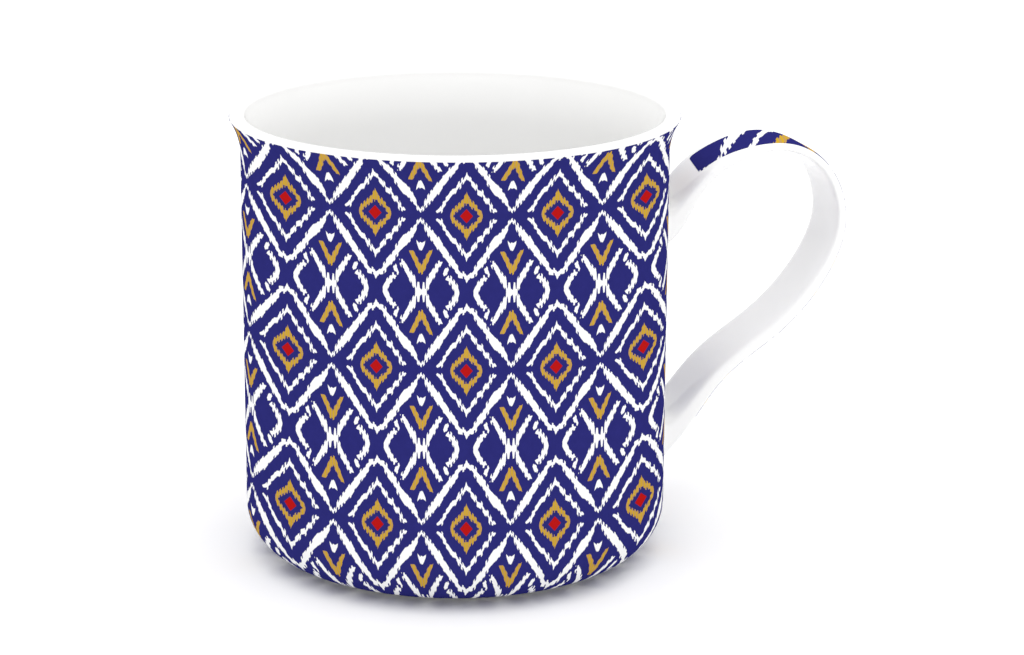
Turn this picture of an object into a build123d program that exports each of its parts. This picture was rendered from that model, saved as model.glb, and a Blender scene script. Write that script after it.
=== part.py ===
"""Porcelain mug with a wrap-round transfer print.

Millimetres. Z is the cup's axis, Z = 0 is the table, and the handle points along +X.
The cup is turned, the handle is cast on its own and luted to it with slip, and the glaze and
the transfers lie over them in that order, so each layer is a solid with the next one on it.
"""
from build123d import *
import os
from math import asin, cos, degrees, hypot, radians, sin

# ---- cup, over its glaze ----
height = 89.2  # table to lip
wall_r = 41.75  # outside of the straight wall
wall_t = 3.0
flare_out, flare_h = 2.7, 8.1  # the lip's turn outwards, before its edge is rounded
flare_in, flare_in_h = 2.5, 11.0  # the same on the inside, where it starts lower
lip_round = 0.7  # both edges of the lip
shoulder_r = 9.65  # rounding from the wall to the base
shoulder_under = 0.75  # underside of the shoulder over the table
floor_z = 5.9  # inside floor
inner_corner_r = 8.0  # rounding from the inside wall to the floor
foot_out_r, foot_in_r = 31.0, 28.4  # contact band
recess_h = 1.8  # recess inside the foot ring

# ---- layers ----
glaze_t = 0.25  # fired glaze film
print_t = 0.15  # transfer on the glaze
print_drop = 0.45  # bare lip above the print
print_end_deg = 80  # where the print ends on the shoulder's rounding, 0 at the wall
seam_gap = 0.8  # between the wrap's two ends, behind the handle
cut_gap = 2.8  # bare glaze round each root of the handle

# ---- handle: centre line (radius, height) and thickness, upper root to lower root ----
strap_w = 14.0
strap_line = [
    (36.0, 61.2, 6.4),
    (42.0, 63.6, 6.0),
    (46.4, 68.8, 4.0),
    (51.2, 74.3, 2.8),
    (58.5, 78.0, 2.25),
    (66.9, 78.9, 2.15),
    (74.0, 75.6, 2.2),
    (78.2, 69.2, 2.35),
    (79.1, 61.6, 2.6),
    (76.3, 53.9, 3.0),
    (71.2, 46.9, 3.4),
    (65.1, 41.3, 3.6),
    (58.6, 36.8, 3.6),
    (52.7, 31.8, 3.8),
    (47.8, 25.8, 4.5),
    (42.4, 20.1, 6.0),
    (36.0, 15.0, 7.4),
]
strap_edge_r = 0.95  # rounding of the strap's edges
slip_r = 1.6  # hollow of the slip round each root
strip_margin = 2.0  # bare margin each side of the handle's print
strip_from, strip_to = 3, 14  # the strip's ends, as points of strap_line

shoulder_c = (wall_r - shoulder_r, shoulder_under + shoulder_r)
inner_c = (wall_r - wall_t - inner_corner_r, floor_z + inner_corner_r)


# Each shape below is drawn over the glaze and sunk by a depth: 0 is the glaze's surface,
# glaze_t the bisque under it, and -print_t the surface of a transfer on it.


def arc_point(centre, radius, deg):
    return (centre[0] + radius * cos(radians(deg)), centre[1] + radius * sin(radians(deg)))


def flare(side_r, out, rise, inwards, depth):
    """Arc that turns a wall outwards up to the lip, from its lower end to its upper end."""
    r = (rise**2 + out**2) / (2 * out)
    bend = r + inwards * depth
    end = degrees(asin((rise - depth) / bend))
    return ThreePointArc(
        *(arc_point((side_r + r, height - rise), bend, 180 - a) for a in (0, end / 2, end))
    )


def cup_section(depth):
    """Half-section of the cup. Its foot is bare bisque at every depth."""
    under = shoulder_under + glaze_t
    shoulder = shoulder_r - depth
    corner_r = inner_corner_r + depth
    outside = flare(wall_r, flare_out, flare_h, 1, depth)
    inside = flare(wall_r - wall_t, flare_in, flare_in_h, -1, depth)
    base = [
        (0, floor_z - depth),
        (0, recess_h),
        (foot_in_r - 0.8, recess_h),
        (foot_in_r, 0),
        (foot_out_r, 0),
        (foot_out_r + 0.6, under),
        (shoulder_c[0], under),
    ]
    if depth < glaze_t:
        base.append((shoulder_c[0], shoulder_c[1] - shoulder))
    edges = [
        Polyline(*base),
        ThreePointArc(*(arc_point(shoulder_c, shoulder, a) for a in (-90, -45, 0))),
        Line((shoulder_c[0] + shoulder, shoulder_c[1]), outside @ 0),
        outside,
        Line(outside @ 1, inside @ 1),
        inside,
        Line(inside @ 0, (inner_c[0] + corner_r, inner_c[1])),
        ThreePointArc(*(arc_point(inner_c, corner_r, a) for a in (0, -45, -90))),
        Line((inner_c[0], floor_z - depth), (0, floor_z - depth)),
    ]
    face = make_face(edges)
    return fillet(face.vertices().group_by(Axis.Y)[-1], lip_round - depth)


def turned(section):
    """Turns a half-section about the cup's axis, with its seam away from the handle."""
    return Rot(0, 0, 180) * revolve(Plane.XZ * section, Axis.Z)


def column(depth):
    bottom = (Align.CENTER, Align.CENTER, Align.MIN)
    return Rot(0, 0, 180) * Cylinder(wall_r - depth, height, align=bottom)


def strap_edges(depth):
    """Points along the outer and the inner side of the handle, sunk by depth."""
    outer, inner = [], []
    last = len(strap_line) - 1
    for i, (r, z, t) in enumerate(strap_line):
        before, after = strap_line[max(i - 1, 0)], strap_line[min(i + 1, last)]
        along = Vector(after[0] - before[0], after[1] - before[1]).normalized()
        side = Vector(-along.Y, along.X) * (t / 2 - depth)
        outer.append((r + side.X, z + side.Y))
        inner.append((r - side.X, z - side.Y))
    return outer, inner


def strap_side(depth):
    outer, inner = strap_edges(depth)
    ends = [Line(outer[0], inner[0]), Line(outer[-1], inner[-1])]
    return make_face([Spline(*outer), Spline(*inner)] + ends)


def across(side, width):
    """Gives a side view its width, centred on the handle's plane."""
    return extrude(Plane.XZ.offset(-width / 2) * side, width)


def strap(depth):
    """The handle, its long edges rounded and its roots cut to the cup's wall."""
    bar = across(strap_side(depth), strap_w - 2 * depth)
    bar = fillet(bar.edges().filter_by(GeomType.BSPLINE), strap_edge_r - depth)
    return bar - column(depth)


def luted(depth):
    """Cup and handle as one, with the hollow of slip round each root."""
    both = turned(cup_section(depth)) + strap(depth)

    def on_wall(edge):
        points = [edge @ u for u in (0, 0.35, 0.65, 1)]
        near = all(p.X > 0 and abs(hypot(p.X, p.Y) - wall_r + depth) < 0.02 for p in points)
        return near and shoulder_c[1] + 1 < points[1].Z < height - flare_h - 1

    return fillet(both.edges().filter_by(on_wall), slip_r + depth)


parts = {}

# ---- bisque, and the slip that holds the handle to it ----
parts["cup_body"] = turned(cup_section(glaze_t))
parts["strap_handle"] = strap(glaze_t)
bisque = luted(glaze_t)
slip = (bisque - parts["cup_body"] - parts["strap_handle"]).solids().sort_by(Axis.Z)
parts["lower_slip_joint"] = slip[0]
parts["upper_slip_joint"] = slip[-1]

# ---- glaze: one film over the inside, the lip, the outside and the handle, and one in the foot
parts["glaze_coat"] = luted(0) - bisque
parts["recess_glaze"] = Pos(0, 0, recess_h - glaze_t / 2) * Cylinder(foot_in_r - 0.9, glaze_t)

# ---- transfer round the cup, cut away round the handle's roots and meeting behind it ----
end = arc_point(shoulder_c, 2 * shoulder_r, -print_end_deg)
printed = make_face(
    Polyline(
        shoulder_c,
        end,
        (2 * wall_r, end[1]),
        (2 * wall_r, height - print_drop),
        (wall_r - 0.3, height - print_drop),
        (wall_r - 0.3, shoulder_c[1]),
        shoulder_c,
    )
)
films = (cup_section(-print_t) - cup_section(0)) & printed
wrap = turned(films.faces().sort_by(Axis.X)[-1])
roots = (strap(0) & column(-0.3)).solids()
for root in roots:
    box = root.bounding_box()
    hole = RectangleRounded(strap_w + 2 * cut_gap, box.size.Z + 2 * cut_gap, 3.0)
    wrap -= Pos(0, 0, box.center().Z) * extrude(Plane.YZ * hole, 2 * wall_r)
wrap -= Pos(wall_r, 0, height / 2) * Box(wall_r, seam_gap, 2 * height)
parts["wrap_print"] = wrap

# ---- transfer strip along the handle's outer face ----
over, _ = strap_edges(-1)
under, _ = strap_edges(0.6)
run = slice(strip_from, strip_to + 1)
patch = make_face(Polyline(*over[run], *reversed(under[run]), over[strip_from]))
strip = (strap_side(-print_t) - strap_side(0)) & patch
parts["handle_print"] = across(strip, strap_w - 2 * strip_margin)

os.makedirs("parts", exist_ok=True)
for name, shape in parts.items():
    export_step(shape, f"parts/{name}.step")
    box = shape.bounding_box()
    print(name, round(shape.volume), "mm3", "z", round(box.min.Z, 2), "to", round(box.max.Z, 2))
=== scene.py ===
"""The looks of a porcelain mug with a wrap-round ikat transfer, in a plain pale studio.

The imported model's frame: Z is the cup's axis, the floor is Z = 0, and the handle points along +X.
Sizes are millimetres, and every point becomes metres as its mesh is made.
"""

from math import asin, cos, pi, radians, sin, sqrt

import bmesh
import bpy
import numpy as np
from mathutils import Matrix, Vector


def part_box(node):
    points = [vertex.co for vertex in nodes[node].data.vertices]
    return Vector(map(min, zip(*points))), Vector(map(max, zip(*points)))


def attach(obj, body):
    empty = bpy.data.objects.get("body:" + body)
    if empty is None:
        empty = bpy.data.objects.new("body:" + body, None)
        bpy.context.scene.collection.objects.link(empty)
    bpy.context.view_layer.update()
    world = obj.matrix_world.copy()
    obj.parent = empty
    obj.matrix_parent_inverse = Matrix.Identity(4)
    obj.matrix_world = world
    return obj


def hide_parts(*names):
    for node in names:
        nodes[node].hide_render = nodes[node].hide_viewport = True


MM = 0.001
weld = 0.002  # points of a mesh that are nearer than this become one

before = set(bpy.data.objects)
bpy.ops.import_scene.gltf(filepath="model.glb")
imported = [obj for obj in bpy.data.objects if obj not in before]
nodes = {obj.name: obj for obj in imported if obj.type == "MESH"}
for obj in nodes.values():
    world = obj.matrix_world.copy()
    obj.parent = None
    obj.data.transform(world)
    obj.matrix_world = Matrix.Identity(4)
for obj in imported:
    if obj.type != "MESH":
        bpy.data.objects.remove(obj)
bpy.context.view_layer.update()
scene = bpy.context.scene

# ---- cup ----
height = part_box("glaze_coat")[1].z / MM
wall_r = 41.75  # outside of the straight wall
wall_t = 3.0
flare_out, flare_h = 2.7, 8.1  # the lip's turn outwards
flare_in, flare_in_h = 2.5, 11.0  # the same on the inside
lip_crown = 0.9  # height of the lip's rounded edge, which the wrap leaves bare
shoulder_r = 9.65  # rounding from the wall to the base
shoulder_under = 0.75  # underside of the shoulder over the floor
floor_z = 5.9  # inside floor
inner_corner_r = 8.0
foot_r = 31.6  # where the glaze stops at the foot ring
glaze_t = 0.25

# ---- handle: centre line (radius, height) and thickness, upper root to lower root ----
strap_w = 14.4
strap_line = [
    (36.0, 61.2, 6.4),
    (42.0, 63.6, 6.0),
    (46.4, 68.8, 4.0),
    (51.2, 74.3, 2.8),
    (58.5, 78.0, 2.25),
    (66.9, 78.9, 2.15),
    (74.0, 75.6, 2.2),
    (78.2, 69.2, 2.35),
    (79.1, 61.6, 2.6),
    (76.3, 53.9, 3.0),
    (71.2, 46.9, 3.4),
    (65.1, 41.3, 3.6),
    (58.6, 36.8, 3.6),
    (52.7, 31.8, 3.8),
    (47.8, 25.8, 4.5),
    (42.4, 20.1, 6.0),
    (36.0, 15.0, 7.4),
]
strap_fullness = 4.0  # 2 is an ellipse, more is nearer a rectangle
root_sweep = 1.5  # radius of the hollow where the handle runs out on the wall
root_sunk = 0.6  # how deep the handle's closed ends lie inside the wall
strap_step = 0.05  # along the strap, to find its direction
strap_margin = 0.2  # its roots are looked for this far from the line's two ends

# ---- transfers ----
print_t = 0.06  # the ink stands this proud of the glaze
print_sunk = 0.05  # and its underside lies this deep in it
print_end = radians(80)  # where the wrap ends on the shoulder's rounding
seam_gap = 0.8  # between the wrap's ends, behind the handle
cut_gap, cut_corner = 1.2, 3.0  # bare glaze round the slip of each root, and its corners' radius
cut_half = strap_w / 2 + 2.8  # half the width of that cut
cut_reach = 6  # how far the cutter goes to each side of the wall's face
strip_half, strip_half_wide = 4.7, 6.6  # half of the handle strip's width, at its start and later
strip_swell = 17.0  # the strip is at its widest this far from its start
strip_slant = 0.15  # how far the strip's start leans along the strap, for each millimetre over it
strip_corner = 1.0  # rounding of the strip's corners
strip_early = 0.7  # the strip starts and ends this far outside its two points
strip_from, strip_to = 3, 14  # the strip's ends, as points of strap_line

# ---- the artwork, an ikat: its repeat is one lozenge wide and two half rows of crosses high ----
repeat_w, repeat_h = 16.65, 28.8
thread_w = 0.28  # the warp threads that give its edges their teeth
loose_share, comb_share = 1.4, 0.6  # of a motif's shift: at random, and from thread to thread
repeats_round = 12
front = radians(-106)  # the cup's side that the camera faces
true_to = 1.1  # radians each side of the front within which the artwork looks flat from there
flatness = 0.035  # wall radius over the distance from which it looks flat
first_column = 2.1  # from the front to the centre of the nearest lozenge
sway_even, sway_twice = 0.67, 0.89  # how far the rows droop round the cup, mostly on the handle's side
first_row = 77.9  # height of the top row's centre
row_pitch, row_growth = 29.4, 1.5  # drop to the second row, and how much longer the next drop is
look_down = radians(15.8)  # how far the camera looks down on the front
strip_scale, strip_scale_w = 1.9, 3.6  # the strip's larger artwork: along the strap, over it
strip_lozenge = 18.4  # from the strip's first point to the middle of its lozenge
strip_lean = 0.27  # how far the lozenge leans along the strap, for each millimetre over it
strip_row = 1.35  # the strip's near edge is this far up the lozenge

shoulder_c = (wall_r - shoulder_r, shoulder_under + shoulder_r)
inner_c = (wall_r - wall_t - inner_corner_r, floor_z + inner_corner_r)


# ================================================================ meshes


def mesh_object(name, points, faces, artwork=None, sharp=40):
    """An object from points in millimetres. artwork gives each point's place on the flat artwork."""
    mesh = bpy.data.meshes.new(name)
    mesh.from_pydata([tuple(c * MM for c in p) for p in points], [], faces)
    if artwork is not None:
        layer = mesh.uv_layers.new(name="artwork")
        for loop in mesh.loops:
            layer.data[loop.index].uv = artwork[loop.vertex_index]
    work = bmesh.new()
    work.from_mesh(mesh)
    bmesh.ops.remove_doubles(work, verts=work.verts, dist=weld * MM)
    loose = [edge for edge in work.edges if not edge.link_faces]
    bmesh.ops.delete(work, geom=loose, context="EDGES")
    bmesh.ops.recalc_face_normals(work, faces=work.faces)
    work.to_mesh(mesh)
    work.free()
    mesh.shade_smooth()
    mesh.set_sharp_from_angle(angle=radians(sharp))
    obj = bpy.data.objects.new(name, mesh)
    scene.collection.objects.link(obj)
    return obj


def grid_faces(rows, columns, wrap_rows=False, wrap_columns=False):
    """Quads over a grid of points that is stored row by row."""
    faces = []
    for i in range(rows if wrap_rows else rows - 1):
        for j in range(columns if wrap_columns else columns - 1):
            below, beside = (i + 1) % rows, (j + 1) % columns
            faces.append(
                (i * columns + j, i * columns + beside, below * columns + beside, below * columns + j)
            )
    return faces


def arc(centre, radius, start, end, count):
    """Points along an arc, angles in radians."""
    angles = np.linspace(start, end, count)
    return [(centre[0] + radius * cos(a), centre[1] + radius * sin(a)) for a in angles]


def flare(side_r, out, rise, inwards, depth, top):
    """Arc that turns a wall outwards, from its lower end up to the height top."""
    r = (rise**2 + out**2) / (2 * out)
    bend = r + inwards * depth
    end = asin((top - (height - rise)) / bend)
    return arc((side_r + r, height - rise), bend, pi, pi - end, 12)


def cup_line(depth):
    """The glaze's line in half-section, from the foot over the lip to the middle of the floor."""
    top = height - lip_crown
    outside = flare(wall_r, flare_out, flare_h, 1, depth, top)
    inside = flare(wall_r - wall_t, flare_in, flare_in_h, -1, depth, top)
    middle = (outside[-1][0] + inside[-1][0]) / 2
    half = (outside[-1][0] - inside[-1][0]) / 2
    crown = [
        (middle + half * cos(a), top + (lip_crown - depth) * sin(a))
        for a in np.linspace(0, pi, 13)[1:-1]
    ]
    return (
        [(foot_r, shoulder_c[1] - shoulder_r + depth)]
        + arc(shoulder_c, shoulder_r - depth, -pi / 2, 0, 16)
        + outside
        + crown
        + inside[::-1]
        + arc(inner_c, inner_corner_r + depth, 0, -pi / 2, 14)
        + [(inner_c[0] * k, floor_z - depth) for k in (0.75, 0.5, 0.25, 0)]
    )


def turned(name, line, steps=240):
    """A closed ring of points turned about the cup's axis."""
    points = [
        (r * cos(a), r * sin(a), z)
        for r, z in line
        for a in np.linspace(0, 2 * pi, steps, endpoint=False)
    ]
    return mesh_object(name, points, grid_faces(len(line), steps, True, True))


class Spline:
    """Natural cubic spline through points, run along by the length of the chords between them."""

    def __init__(self, points):
        self.points = np.array(points, float)
        steps = np.diff(self.points, axis=0)
        chord = np.hypot(steps[:, 0], steps[:, 1])
        self.knots = np.concatenate([[0], np.cumsum(chord)])
        size = len(points)
        rows, right = np.eye(size), np.zeros_like(self.points)
        for i in range(1, size - 1):
            rows[i, i - 1 : i + 2] = chord[i - 1], 2 * (chord[i - 1] + chord[i]), chord[i]
            right[i] = 6 * (steps[i] / chord[i] - steps[i - 1] / chord[i - 1])
        self.bend = np.linalg.solve(rows, right)

    def at(self, t):
        i = int(np.clip(np.searchsorted(self.knots, t) - 1, 0, len(self.knots) - 2))
        h = self.knots[i + 1] - self.knots[i]
        b = (t - self.knots[i]) / h
        a = 1 - b
        straight = a * self.points[i] + b * self.points[i + 1]
        return straight + ((a**3 - a) * self.bend[i] + (b**3 - b) * self.bend[i + 1]) * h**2 / 6


strap = Spline(strap_line)


def strap_point(t, across, lift):
    """A point of the strap's outer (lift > 0) or inner skin.

    across is its place over the width, and lift its height from the middle, in half thicknesses.
    """
    r, z, thick = strap.at(t)
    ahead, behind = strap.at(t + strap_step), strap.at(t - strap_step)
    along = ahead[:2] - behind[:2]
    along /= np.hypot(*along)
    rise = lift * thick / 2
    return np.array((r - along[1] * rise, across, z + along[0] * rise))


def rounded(angle):
    """Across and lift, both from -1 to 1, round the strap's section."""
    c, s = cos(angle), sin(angle)
    power = 2 / strap_fullness
    return abs(c) ** power * (1 if c > 0 else -1), abs(s) ** power * (1 if s > 0 else -1)


class StrapSkin:
    """Lines along the strap's skin, each of which runs into the cup's wall at both ends."""

    def __init__(self, around):
        self.sections = [rounded(2 * pi * (j + 0.5) / around) for j in range(around)]
        self.fine = np.linspace(strap_margin, strap.knots[-1] - strap_margin, 1200)
        self.off_wall = []  # of each line, at each of the places in fine
        for j in range(around):
            line = np.array([self.point(j, t) for t in self.fine])
            self.off_wall.append(np.hypot(line[:, 0], line[:, 1]) - wall_r)

    def point(self, j, t):
        across, lift = self.sections[j]
        return strap_point(t, across * strap_w / 2, lift)

    def place(self, j, reach, upper):
        """Where line j is reach millimetres off the wall, near its upper or its lower end."""
        out = self.off_wall[j] - reach
        step, last = (-1, 0) if upper else (1, len(out) - 1)
        for i in range(len(out) // 2, last, step):
            if out[i + step] <= 0:
                share = out[i] / (out[i] - out[i + step])
                return self.fine[i] + share * (self.fine[i + step] - self.fine[i])
        return self.fine[last]


def outward(outline):
    """Directions out of a flat closed outline, at each of its points."""
    tangent = np.roll(outline, -1, axis=0) - np.roll(outline, 1, axis=0)
    normal = np.stack([tangent[:, 1], -tangent[:, 0]], axis=1)
    normal /= np.linalg.norm(normal, axis=1)[:, None]
    inwards = ((outline - outline.mean(axis=0)) * normal).sum() < 0
    return -normal if inwards else normal


def swept_root(skin, upper):
    """Rings from the strap's skin out to the wall, and one more a little inside it."""
    lines = range(len(skin.sections))
    foot = []
    for j in lines:
        x, y, z = skin.point(j, skin.place(j, 0, upper))
        foot.append((wall_r * np.arctan2(y, x), z))
    normal = outward(np.array(foot))
    rings = []
    for a in np.linspace(0, pi / 2, 8):
        reach, out = root_sweep * (1 - sin(a)), root_sweep * (1 - cos(a))
        ring = []
        for j in lines:
            x, y, z = skin.point(j, skin.place(j, reach, upper))
            turn = np.arctan2(y, x) + out * normal[j, 0] / wall_r
            r = wall_r + reach
            ring.append((r * cos(turn), r * sin(turn), z + out * normal[j, 1]))
        rings.append(ring)
    share = 1 - root_sunk / wall_r
    rings.append([(x * share, y * share, z) for x, y, z in rings[-1]])
    return rings


def handle_mesh(stations=150, around=56):
    """The strap lofted along its line, each end swept out on the wall and closed inside it."""
    skin = StrapSkin(around)
    starts = [skin.place(j, root_sweep, True) for j in range(around)]
    ends = [skin.place(j, root_sweep, False) for j in range(around)]
    middle = [
        [skin.point(j, starts[j] + i / stations * (ends[j] - starts[j])) for j in range(around)]
        for i in range(1, stations)
    ]
    rows = swept_root(skin, True)[::-1] + middle + swept_root(skin, False)
    points = [p for row in rows for p in row]
    faces = grid_faces(len(rows), around, wrap_columns=True)
    for ring, turn in ((0, 1), (len(rows) - 1, -1)):
        points.append(tuple(np.mean(np.array(rows[ring]), axis=0)))
        for j in range(around):
            pair = (ring * around + j, ring * around + (j + 1) % around)
            faces.append((*pair[::-turn], len(points) - 1))
    return mesh_object("handle", points, faces, sharp=80)


# ================================================================ the artwork on the shapes


def artwork_across(angle):
    """Place across the flat artwork at an angle round the cup.

    True to size at the front, and spread towards the sides as far as true_to, so that from the
    front it looks flat. From there the spread goes back evenly, and the artwork closes with whole
    repeats at the back.
    """
    turn = (angle - front + pi) % (2 * pi) - pi
    near, past = min(abs(turn), true_to), max(abs(turn) - true_to, 0)
    reach, narrowing = wall_r * (1 - flatness), 1 - flatness * cos(near)
    place = reach * sin(near) / narrowing
    if past:
        rate = reach * (cos(near) - flatness) / narrowing**2
        rest = pi - true_to
        gain = 2 * (repeats_round * repeat_w / 2 - place - rate * rest) / rest**2
        place += rate * past + gain * past**2 / 2
    return (place if turn > 0 else -place) - first_column


def artwork_down(z):
    """Place down the flat artwork at a height on the wall, 0 at the top row's centre."""
    first = row_pitch - row_growth / 2
    rows = (sqrt(first**2 + 2 * row_growth * (first_row - z)) - first) / row_growth
    return rows * repeat_h


def artwork_droop(angle):
    """How far the rows sit lower than at the front."""
    turn = sin(angle - front)
    return sway_even * turn + sway_twice * turn**2


def wrap_profile(lift):
    """The wrap in half-section with its place down the artwork, from the lip to the shoulder."""
    upper = flare(wall_r, flare_out, flare_h, 1, -lift, height - lip_crown)
    profile = [(r, z, artwork_down(z)) for r, z in reversed(upper)]
    wall = np.linspace(height - flare_h, shoulder_c[1], 9)[1:]
    profile += [(wall_r + lift, z, artwork_down(z)) for z in wall]
    down, per_mm = profile[-1][2], repeat_h / (row_pitch + row_growth)
    steps = 14
    for i in range(1, steps + 1):
        a = print_end * i / steps
        slant = max(cos(a - print_end / steps / 2 + look_down) / cos(look_down), 0.5)
        down += shoulder_r * print_end / steps * per_mm * slant
        r = shoulder_r + lift
        profile.append((shoulder_c[0] + r * cos(a), shoulder_c[1] - r * sin(a), down))
    return profile


def wrap_half(name, start, end, steps=180):
    """Half of the wrap: a closed sheet round the cup from one angle to another."""
    skins = wrap_profile(print_t) + wrap_profile(-print_sunk)[::-1]
    angles = np.linspace(start, end, steps + 1)
    points = [(r * cos(a), r * sin(a), z) for r, z, _ in skins for a in angles]
    places = [(artwork_across(a), artwork_droop(a)) for a in angles]
    artwork = [(across, down - droop) for _, _, down in skins for across, droop in places]
    count = len(skins)
    faces = grid_faces(count, steps + 1, wrap_rows=True)
    for i in range(count // 2 - 1):
        for column in (0, steps):
            ring = (i, i + 1, count - 2 - i, count - 1 - i)
            side = [k * (steps + 1) + column for k in ring]
            faces.append(side[::-1] if column else side)
    return mesh_object(name, points, faces, artwork)


def cut_round_root(wrap, node):
    """Takes the wrap away round one of the handle's roots, in a rectangle with rounded corners."""
    low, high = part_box(node)
    bottom, top = low.z / MM - cut_gap, high.z / MM + cut_gap
    outline = []
    for quarter, (y, z) in enumerate(
        ((cut_half, top), (-cut_half, top), (-cut_half, bottom), (cut_half, bottom))
    ):
        centre = (y - cut_corner * (1 if y > 0 else -1), z - cut_corner * (1 if z == top else -1))
        outline += arc(centre, cut_corner, quarter * pi / 2, (quarter + 1) * pi / 2, 8)
    count = len(outline)
    points = [(x, y, z) for x in (wall_r - cut_reach, wall_r + cut_reach) for y, z in outline]
    faces = grid_faces(2, count, wrap_columns=True)
    faces += [tuple(range(count))[::-1], tuple(range(count, 2 * count))]
    plain_blue = (repeat_w / 2, repeat_h * 0.05)
    cutter = mesh_object("cutter", points, faces, [plain_blue] * len(points))
    cut = wrap.modifiers.new("cut", "BOOLEAN")
    cut.operation, cut.solver, cut.object = "DIFFERENCE", "EXACT", cutter
    bpy.context.view_layer.update()
    done = bpy.data.meshes.new_from_object(wrap.evaluated_get(bpy.context.evaluated_depsgraph_get()))
    wrap.modifiers.clear()
    wrap.data = done
    bpy.data.objects.remove(cutter)


def sheet_faces(rows, columns):
    """Faces of a closed sheet, its outer skin's grid of points stored before its inner skin's."""
    count = rows * columns
    skin = grid_faces(rows, columns)
    faces = [f[::-1] for f in skin] + [tuple(k + count for k in f) for f in skin]
    rim = [i * columns for i in range(rows)]
    rim += [(rows - 1) * columns + j for j in range(1, columns)]
    rim += [i * columns + columns - 1 for i in range(rows - 2, -1, -1)]
    rim += list(range(columns - 2, 0, -1))
    faces += [(a, b, b + count, a + count) for a, b in zip(rim, rim[1:] + rim[:1])]
    return faces


def strip_wide(along):
    """Half of the strip's width, at a distance from its first point."""
    swell = min(max(along, 0) / strip_swell, 1)
    return strip_half + (strip_half_wide - strip_half) * (1 - cos(swell * pi)) / 2


def strap_crown(y):
    """Height of the strap's skin over its middle, in half thicknesses, at a place over it."""
    return (1 - (abs(y) / (strap_w / 2)) ** strap_fullness) ** (1 / strap_fullness)


def handle_strip(stations=150, across=24):
    """The strip of transfer on the handle's outer face, a closed sheet that follows its crown."""
    first, last = strap.knots[strip_from], strap.knots[strip_to]
    middle, half = (first + last) / 2, (last - first) / 2 + strip_early
    shares = np.sin(np.linspace(-pi / 2, pi / 2, across))
    points, artwork = [], []
    for skin in (print_t, -print_sunk):
        for share in np.linspace(-1, 1, stations):
            wide = strip_wide(middle + share * half - first)
            for y in wide * shares:
                in_corner = max(abs(y) - wide + strip_corner, 0)
                cut = strip_corner - sqrt(strip_corner**2 - in_corner**2)
                t = middle + share * (half - cut) + strip_slant * y * (1 - share) / 2
                points.append(strap_point(t, y, strap_crown(y) + skin * 2 / strap.at(t)[2]))
                over = y + wide
                along = t - first - strip_lozenge - strip_lean * over
                artwork.append((along / strip_scale, over / strip_scale_w + strip_row))
    return mesh_object("handle_strip", points, sheet_faces(stations, across), artwork)


# ================================================================ materials


class Field:
    """A number that varies over a surface: a node's output, with Python's own operators."""

    def __init__(self, tree, socket):
        self.tree, self.socket = tree, socket

    def math(self, operation, *others, clamp=False):
        node = self.tree.nodes.new("ShaderNodeMath")
        node.operation, node.use_clamp = operation, clamp
        for slot, value in zip(node.inputs, (self, *others)):
            if isinstance(value, Field):
                self.tree.links.new(value.socket, slot)
            else:
                slot.default_value = value
        return Field(self.tree, node.outputs[0])

    def __add__(self, other):
        return self.math("ADD", other)

    def __sub__(self, other):
        return self.math("SUBTRACT", other)

    def __mul__(self, other):
        return self.math("MULTIPLY", other)

    def curve(self, points, width, tall):
        """A line of straight runs, in millimetres: its height at this place across.

        It is as wide as width, and its heights are from just under 0 to just over tall.
        """
        node = self.tree.nodes.new("ShaderNodeFloatCurve")
        depth, span = -1, tall + 2
        line = node.mapping.curves[0]
        ends = [(0, points[0][1]), *points, (width, points[-1][1])]
        spots = [(x / width, (y - depth) / span) for x, y in dict(ends).items()]
        while len(line.points) < len(spots):
            line.points.new(0.5, 0.5)
        for point, spot in zip(line.points, sorted(spots)):
            point.location, point.handle_type = spot, "VECTOR"
        node.mapping.update()
        place = self * (1 / width)
        self.tree.links.new(place.socket, node.inputs["Value"])
        return Field(self.tree, node.outputs[0]) * span + depth


def new_material(name, specular=0.5):
    material = bpy.data.materials.new(name)
    material.use_nodes = True
    shader = material.node_tree.nodes["Principled BSDF"]
    shader.inputs["Specular IOR Level"].default_value = specular
    return material, material.node_tree, shader


def noise(tree, scale, detail=2.0):
    """Smooth noise with this many cells a metre, from 0 to 1."""
    place = tree.nodes.new("ShaderNodeTexCoord")
    node = tree.nodes.new("ShaderNodeTexNoise")
    node.inputs["Scale"].default_value = scale
    node.inputs["Detail"].default_value = detail
    tree.links.new(place.outputs["Object"], node.inputs["Vector"])
    return Field(tree, node.outputs["Fac"])


def mixed(tree, share, low, high):
    """Colour that goes from low to high with share. Both are colours or sockets."""
    node = tree.nodes.new("ShaderNodeMix")
    node.data_type = "RGBA"
    tree.links.new(share.socket, node.inputs["Factor"])
    for slot, colour in ((node.inputs[6], low), (node.inputs[7], high)):
        if isinstance(colour, tuple):
            slot.default_value = (*colour, 1)
        else:
            tree.links.new(colour, slot)
    return node.outputs[2]


def bumped(tree, shader, field, distance, strength):
    """Bump of this height, in millimetres, from a field."""
    node = tree.nodes.new("ShaderNodeBump")
    node.inputs["Strength"].default_value = strength
    node.inputs["Distance"].default_value = distance * MM
    tree.links.new(field.socket, node.inputs["Height"])
    tree.links.new(node.outputs[0], shader.inputs["Normal"])


def roughened(tree, shader, low, spread, scale):
    """Roughness that wanders between low and low + spread."""
    uneven = noise(tree, scale) * spread + low
    tree.links.new(uneven.socket, shader.inputs["Roughness"])


def glaze_material():
    """Clear glaze on white porcelain: glossy, a little uneven, with the faintest warm clouds."""
    material, tree, shader = new_material("white_glaze")
    clouds = noise(tree, 45)
    tree.links.new(
        mixed(tree, clouds, (0.885, 0.883, 0.875), (0.915, 0.915, 0.91)), shader.inputs["Base Color"]
    )
    roughened(tree, shader, 0.06, 0.08, 160)
    bumped(tree, shader, noise(tree, 120, 3), 0.05, 0.12)
    return material


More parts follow.
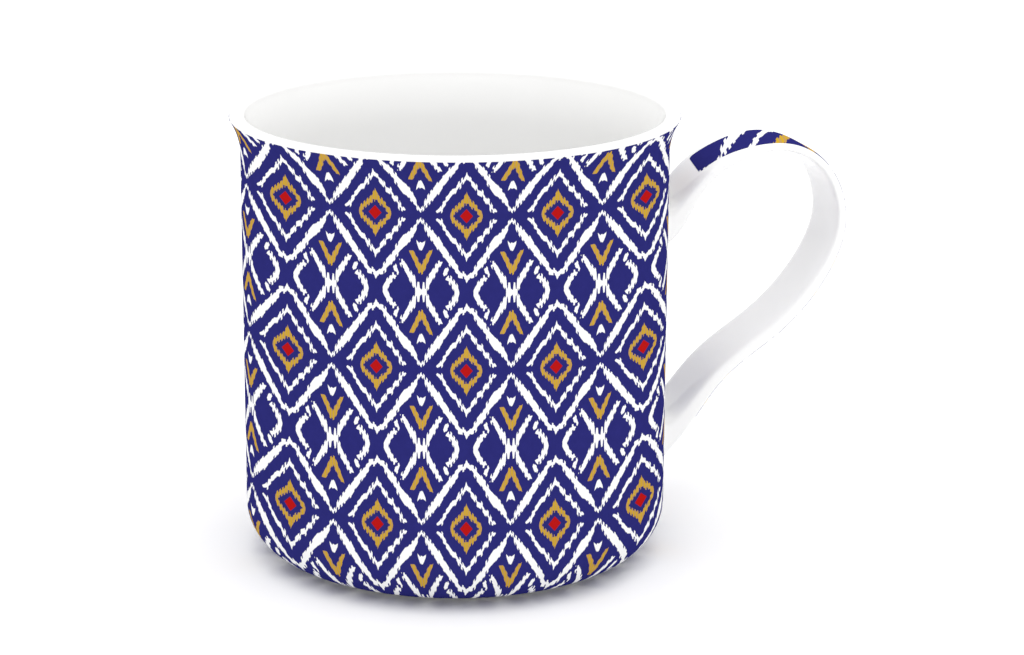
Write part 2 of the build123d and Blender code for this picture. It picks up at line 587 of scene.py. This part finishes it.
def bisque_material():
    """Bare fired porcelain: matt, faintly warm, with a fine grain and a little grey from wear."""
    material, tree, shader = new_material("bisque", 0.3)
    wear = noise(tree, 220, 6)
    tree.links.new(
        mixed(tree, wear, (0.7, 0.675, 0.63), (0.86, 0.845, 0.81)), shader.inputs["Base Color"]
    )
    roughened(tree, shader, 0.68, 0.2, 900)
    bumped(tree, shader, noise(tree, 2500, 4), 0.08, 0.5)
    return material


half_w, half_h = repeat_w / 2, repeat_h / 2
# Each motif's upper and lower line in a quarter of the repeat: millimetres across from the
# lozenge's middle and up from it. Where the two lines meet, the motif ends. The ring on the
# handle's strip is a larger one.
rhombus = [(0, 1.38), (1.23, 0)], [(0, -1), (1.23, 0)]
ring = (
    [(0, 4.6), (0.2, 4.0), (0.6, 3.4), (1.4, 2.4), (2.2, 1.5), (2.7, 0.95), (2.9, 0.5), (2.95, 0)],
    [(0, 2.2), (0.45, 2.2), (0.5, 1.9), (0.75, 1.8), (1.7, 0.85), (2.4, 0.1), (2.5, -0.8), (2.9, -0.8),
     (2.95, 0)],
)
strip_ring = [(0, 5.9), (3.05, 0)], [(0, 3.9), (1.9, 0)]
thin_lozenge = (
    [(0, 8.7), (0.2, 8.0), (0.6, 7.3), (1.5, 6.3), (1.7, 5.8), (2.1, 5.2), (2.9, 4.6), (3.2, 4.0),
     (3.8, 3.2), (4.4, 2.5), (4.6, 1.85), (5.0, 1.3), (5.4, 1.1), (5.6, 0.7)],
    [(0, 7.1), (0.4, 6.7), (0.75, 6.1), (1.1, 5.5), (1.7, 4.8), (2.0, 4.2), (2.8, 3.5), (3.2, 2.8),
     (3.9, 2.0), (4.2, 1.4), (4.5, 0.85), (5.0, 0.5), (5.4, 0.5), (5.6, 0.7)],
)
thick_lozenge = (
    [(0, 12.4), (0.3, 11.9), (0.6, 11.7), (1.1, 11.5), (1.7, 11.1), (2.1, 10.5), (3.5, 8.5),
     (4.4, 7.2), (5.2, 6.3), (6.1, 5.1), (6.6, 4.45), (7.2, 3.4), (7.55, 2.6), (7.8, 1.9),
     (8.05, 1.4), (8.3, 1.2)],
    [(0, 10.9), (0.6, 10.7), (1.05, 10.4), (1.7, 9.3), (2.3, 8.4), (3.6, 6.3), (5.0, 4.1),
     (6.1, 2.95), (7.1, 1.9), (7.8, 1.05), (8.3, 0.4)],
)
swallow = (
    [(7.5, 4.6), (7.6, 5.3), (7.75, 5.8), (8.05, 6.5), (8.3, 6.8)],
    [(7.5, 4.6), (7.7, 4.85), (8.0, 5.1), (8.3, 5.15)],
)
chevron = (
    [(6.15, 6.6), (6.25, 7.0), (7.85, 10.7), (8.3, 11.0)],
    [(6.15, 6.6), (6.9, 6.7), (7.5, 7.8), (8.3, 9.3)],
)
cross = (
    [(4.3, 8.8), (4.75, 9.7), (5.25, 10.3), (5.9, 11.5), (6.3, 12.2), (6.9, 13.5), (7.25, 14.0),
     (7.3, 15.2)],
    [(4.3, 8.8), (4.9, 8.7), (5.35, 8.8), (5.6, 9.15), (6.0, 9.8), (6.7, 10.95), (7.2, 11.6),
     (7.35, 12.1), (7.45, 13.6), (7.6, 13.6), (7.68, 12.7), (8.0, 12.6), (8.1, 13.6), (8.3, 13.8)],
)
bracket = (
    [(1.3, 14.0), (1.35, 15.2), (2.1, 15.2), (2.2, 14.1), (2.5, 13.4), (2.9, 12.7), (3.3, 12.3),
     (3.6, 12.2), (3.9, 11.9)],
    [(1.3, 14.0), (1.45, 13.4), (1.75, 12.8), (2.2, 12.1), (2.6, 11.6), (3.0, 11.2), (3.3, 11.2),
     (3.6, 11.5), (3.9, 11.9)],
)
bead = (
    [(3.2, 10.3), (3.4, 10.7), (3.7, 11.1), (4.1, 11.4), (4.3, 10.9)],
    [(3.2, 10.3), (3.4, 9.8), (3.7, 9.6), (4.0, 10.0), (4.3, 10.9)],
)
# The white motifs, each with the most that its threads are shifted by.
white_motifs = (
    (thin_lozenge, 0.5),
    (thick_lozenge, 0.42),
    (swallow, 0.12),
    (cross, 0.4),
    (bracket, 0.4),
    (bead, 0.3),
)
ink_blue = (0.0205, 0.0205, 0.136)
ink_white = (0.87, 0.87, 0.865)
ink_ochre, ink_tan = (0.542, 0.33, 0.024), (0.46, 0.279, 0.09)
ink_red = (0.415, 0.0085, 0.008)
edge_soft = 0.1  # width over which a motif's edge fades, up the artwork


class Artwork:
    """Where the surface lies on the flat artwork, as fields.

    The artwork repeats in both directions. Unless it is endless, it is plain before its first
    lozenge.
    """

    def __init__(self, tree, endless):
        uv = tree.nodes.new("ShaderNodeUVMap")
        uv.uv_map = "artwork"
        split = tree.nodes.new("ShaderNodeSeparateXYZ")
        tree.links.new(uv.outputs[0], split.inputs[0])
        right, down = (Field(tree, split.outputs[k]) for k in (0, 1))
        begun = right if endless else right.math("MAXIMUM", -half_w)
        self.tree = tree
        self.across, self.up = begun.math("PINGPONG", half_w), down.math("PINGPONG", half_h)
        self.thread = (right.math("FLOORED_MODULO", repeat_w) * (1 / thread_w)).math("FLOOR")
        self.every_other = self.thread.math("FLOORED_MODULO", 2) - 0.5

    def shifted(self, seed, shift):
        """Up the artwork, with each warp thread shifted a little, which gives the teeth."""
        random = self.tree.nodes.new("ShaderNodeTexWhiteNoise")
        random.noise_dimensions = "1D"
        self.tree.links.new((self.thread + seed).socket, random.inputs["W"])
        loose = (Field(self.tree, random.outputs["Value"]) - 0.5) * (loose_share * shift)
        return self.up + loose + self.every_other * (comb_share * shift)

    def inside(self, motif, seed, shift):
        """1 inside a motif, 0 outside."""
        up = self.shifted(seed, shift) if shift else self.up
        upper = self.across.curve(motif[0], half_w, half_h) - up
        lower = up - self.across.curve(motif[1], half_w, half_h)
        return (upper.math("MINIMUM", lower) * (1 / edge_soft)).math("MINIMUM", 1.0, clamp=True)

    def inside_any(self, motifs, seed):
        """1 inside any of some motifs, which come with their shifts."""
        together = None
        for motif, shift in motifs:
            shape = self.inside(motif, seed, shift)
            together = shape if together is None else together.math("MAXIMUM", shape)
            seed += 50
        return together


def print_material(name, endless):
    """The ikat transfer, in the order in which its inks lie over each other."""
    material, tree, shader = new_material(name, 0.0)
    art = Artwork(tree, endless)
    white = art.inside_any(white_motifs, 50)
    ochre = art.inside_any(((ring if endless else strip_ring, 0.28), (chevron, 0.28)), 350)
    red = art.inside(rhombus, 0, 0)
    blue = mixed(tree, noise(tree, 700, 3), ink_blue, tuple(c * 1.25 for c in ink_blue))
    weave = mixed(tree, art.every_other + 0.5, ink_ochre, ink_tan)
    colour = mixed(tree, white, blue, ink_white)
    colour = mixed(tree, ochre, colour, weave)
    colour = mixed(tree, red, colour, ink_red)
    tree.links.new(colour, shader.inputs["Base Color"])
    roughened(tree, shader, 0.24, 0.12, 300)
    bumped(tree, shader, noise(tree, 120, 3), 0.05, 0.12)
    return material


# ================================================================ the mug

white_glaze = glaze_material()
bisque = bisque_material()
wrap_ink, strip_ink = print_material("wrap_print", True), print_material("strip_print", False)

for name in ("cup_body", "recess_glaze"):
    nodes[name].data.materials.clear()
    nodes[name].data.materials.append(white_glaze if name == "recess_glaze" else bisque)

cup_glaze = turned("cup_glaze", cup_line(0) + cup_line(glaze_t)[::-1])
handle = handle_mesh()
wraps = [
    wrap_half("wrap_print_back", seam_gap / 2 / wall_r, pi),
    wrap_half("wrap_print_front", pi, 2 * pi - seam_gap / 2 / wall_r),
]
for wrap in wraps:
    for node in ("upper_slip_joint", "lower_slip_joint"):
        cut_round_root(wrap, node)
strip = handle_strip()

for piece, material, slot, replaced in (
    (cup_glaze, white_glaze, "white_glaze", ["glaze_coat"]),
    (handle, white_glaze, "white_glaze", ["strap_handle", "upper_slip_joint", "lower_slip_joint"]),
    (wraps[0], wrap_ink, "print", ["wrap_print"]),
    (wraps[1], wrap_ink, "print", []),
    (strip, strip_ink, "print", ["handle_print"]),
):
    piece.data.materials.clear()
    piece.data.materials.append(material)
    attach(piece, "root")
    if replaced:
        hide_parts(*replaced)

# ================================================================ studio

target = Vector((0, 0, height / 2 * MM))
camera_distance, camera_tilt = 0.6, radians(15.77)


def aimed(obj, place):
    """Puts an object at a place, looking at the middle of the cup."""
    scene.collection.objects.link(obj)
    obj.location = place
    obj.rotation_mode = "QUATERNION"
    obj.rotation_quaternion = (target - Vector(place)).to_track_quat("-Z", "Y")
    return obj


def soft_light(name, place, size, power):
    lamp = bpy.data.lights.new(name, "AREA")
    lamp.shape, lamp.size, lamp.energy = "DISK", size, power
    aimed(bpy.data.objects.new(name, lamp), place)


camera = aimed(
    bpy.data.objects.new("camera", bpy.data.cameras.new("camera")),
    target
    + camera_distance
    * Vector((cos(camera_tilt) * cos(front), cos(camera_tilt) * sin(front), sin(camera_tilt))),
)
camera.data.sensor_width, camera.data.lens = 36, 106.35
camera.data.shift_x, camera.data.shift_y = 0.0557, 0.0021
scene.camera = camera

ground = 4000  # half of the floor's side
corners = [(-ground, -ground, 0), (ground, -ground, 0), (ground, ground, 0), (-ground, ground, 0)]
floor = mesh_object("floor", corners, [(0, 1, 2, 3)])
paper, paper_tree, paper_shader = new_material("paper", 0.1)
paper_shader.inputs["Roughness"].default_value = 0.9
paper_tree.links.new(
    mixed(paper_tree, noise(paper_tree, 30), (0.975, 0.975, 0.975), (0.985, 0.985, 0.985)),
    paper_shader.inputs["Base Color"],
)
floor.data.materials.append(paper)

world = bpy.data.worlds.new("studio")
world.use_nodes = True
world.node_tree.nodes["Background"].inputs["Color"].default_value = (1, 1, 1, 1)
world.node_tree.nodes["Background"].inputs["Strength"].default_value = 1.0
scene.world = world
scene.view_settings.view_transform = "Standard"
soft_light("overhead", (0.0, -0.3, 2.0), 2.5, 20)
